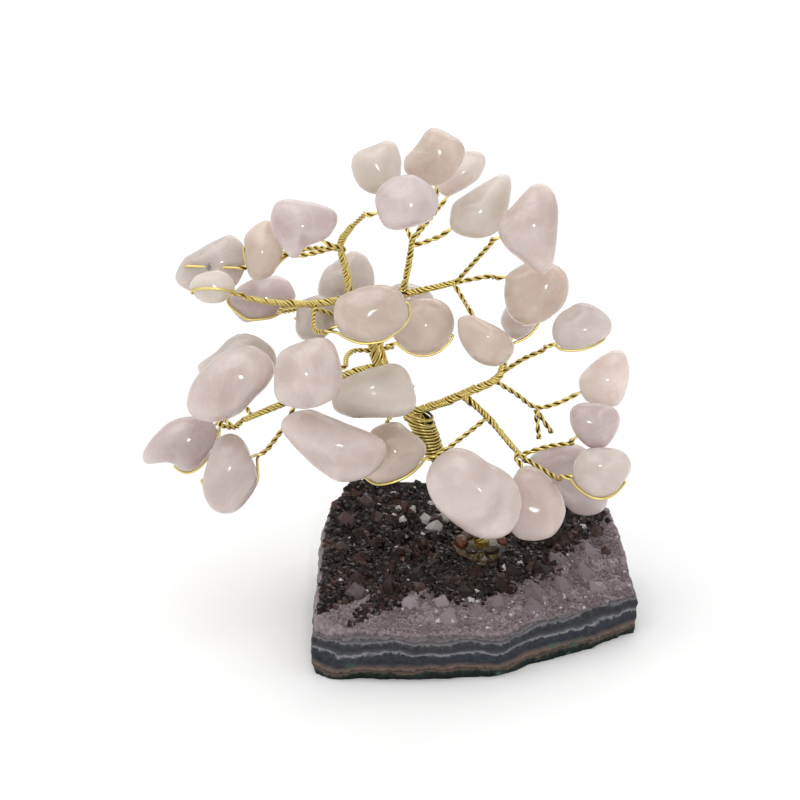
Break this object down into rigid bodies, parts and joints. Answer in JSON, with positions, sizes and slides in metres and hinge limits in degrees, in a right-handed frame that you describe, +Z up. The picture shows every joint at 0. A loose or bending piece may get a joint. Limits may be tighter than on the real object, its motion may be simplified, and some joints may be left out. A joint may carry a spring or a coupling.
{
  "type": "gemstone tree ornament",
  "caption": "Bonsai-like ornament: tumbled quartz gems on twisted brass-wire branches that bend by hand, planted in a slab of amethyst.",
  "frame": {"origin": "middle of the slab's flat underside", "axes": "+Z up the tree, +X to the viewer's right, the viewer looks along +Y"},
  "size_m": [0.1101, 0.0624, 0.1163],
  "materials": {
    "amethyst": "rough crystal",
    "glue": "clear, glossy",
    "chip": "polished",
    "brass_wire": "bright drawn wire",
    "pink_quartz": "tumble polished",
    "lilac_quartz": "tumble polished",
    "peach_quartz": "tumble polished",
    "grey_quartz": "tumble polished",
    "clear_quartz": "tumble polished"
  },
  "bodies": {
    "stand": {"amethyst_slab": "amethyst", "glue_mound": "glue", "foot_chips": "chip", "trunk": "brass_wire", "left_limb": "brass_wire", "right_limb": "brass_wire", "right_fork": "brass_wire", "left_fork": "brass_wire", "trunk_binding": "brass_wire", "trunk_twigs": "brass_wire", "trunk_loops": "brass_wire", "trunk_gem_1": "pink_quartz", "trunk_gem_2": "pink_quartz", "trunk_gem_3": "clear_quartz", "trunk_gem_4": "pink_quartz", "trunk_gem_5": "peach_quartz", "trunk_gem_6": "grey_quartz"},
    "right_branch": {"right_wires": "brass_wire", "right_loops": "brass_wire", "right_gem_1": "grey_quartz", "right_gem_2": "grey_quartz", "right_gem_3": "pink_quartz"},
    "lower_right_branch": {"lower_right_wires": "brass_wire", "lower_right_loops": "brass_wire", "lower_right_gem_1": "lilac_quartz", "lower_right_gem_2": "grey_quartz", "lower_right_gem_3": "lilac_quartz", "lower_right_gem_4": "pink_quartz", "lower_right_gem_5": "peach_quartz"},
    "upper_right_branch": {"upper_right_wires": "brass_wire", "upper_right_loops": "brass_wire", "upper_right_gem_1": "pink_quartz", "upper_right_gem_2": "peach_quartz", "upper_right_gem_3": "peach_quartz"},
    "top_branch": {"top_wires": "brass_wire", "top_loops": "brass_wire", "top_gem_1": "clear_quartz", "top_gem_2": "peach_quartz", "top_gem_3": "grey_quartz", "top_gem_4": "clear_quartz"},
    "upper_left_branch": {"upper_left_wires": "brass_wire", "upper_left_loops": "brass_wire", "upper_left_gem_1": "lilac_quartz", "upper_left_gem_2": "lilac_quartz", "upper_left_gem_3": "peach_quartz", "upper_left_gem_4": "grey_quartz", "upper_left_gem_5": "grey_quartz"},
    "left_branch": {"left_wires": "brass_wire", "left_loops": "brass_wire", "left_gem_1": "clear_quartz", "left_gem_2": "lilac_quartz", "left_gem_3": "peach_quartz", "left_gem_4": "grey_quartz"},
    "lower_left_branch": {"lower_left_wires": "brass_wire", "lower_left_loops": "brass_wire", "lower_left_gem_1": "pink_quartz", "lower_left_gem_2": "grey_quartz", "lower_left_gem_3": "lilac_quartz", "lower_left_gem_4": "pink_quartz"}
  },
  "joints": [
    {"name": "right_bend", "type": "hinge", "parent": "stand", "child": "right_branch", "pos_m": [-0.00719, 0.0024, 0.04988], "axis": [-0.4653, 0.3316, 0.8207], "range_deg": [-12, 8]},
    {"name": "lower_right_bend", "type": "hinge", "parent": "right_branch", "child": "lower_right_branch", "pos_m": [-0.00126, 0.0012, 0.05299], "axis": [0.7007, 0.2673, 0.6615], "range_deg": [-3, 8]},
    {"name": "upper_right_bend", "type": "hinge", "parent": "stand", "child": "upper_right_branch", "pos_m": [-0.01562, 0.006, 0.07635], "axis": [-0.0127, 0.3746, 0.9271], "range_deg": [-6, 12]},
    {"name": "top_bend", "type": "hinge", "parent": "stand", "child": "top_branch", "pos_m": [-0.01562, 0.006, 0.07635], "axis": [-0.955, 0.1112, 0.2751], "range_deg": [-4, 12]},
    {"name": "upper_left_bend", "type": "hinge", "parent": "stand", "child": "upper_left_branch", "pos_m": [-0.02744, 0.0042, 0.07537], "axis": [-0.7682, -0.2398, -0.5936], "range_deg": [-12, 8]},
    {"name": "left_bend", "type": "hinge", "parent": "stand", "child": "left_branch", "pos_m": [-0.02744, 0.0042, 0.07537], "axis": [0.1054, -0.3725, -0.922], "range_deg": [-12, 8]},
    {"name": "lower_left_bend", "type": "hinge", "parent": "stand", "child": "lower_left_branch", "pos_m": [-0.02401, 0.0036, 0.05869], "axis": [0.2957, -0.3579, -0.8857], "range_deg": [-8, 12]}
  ]
}
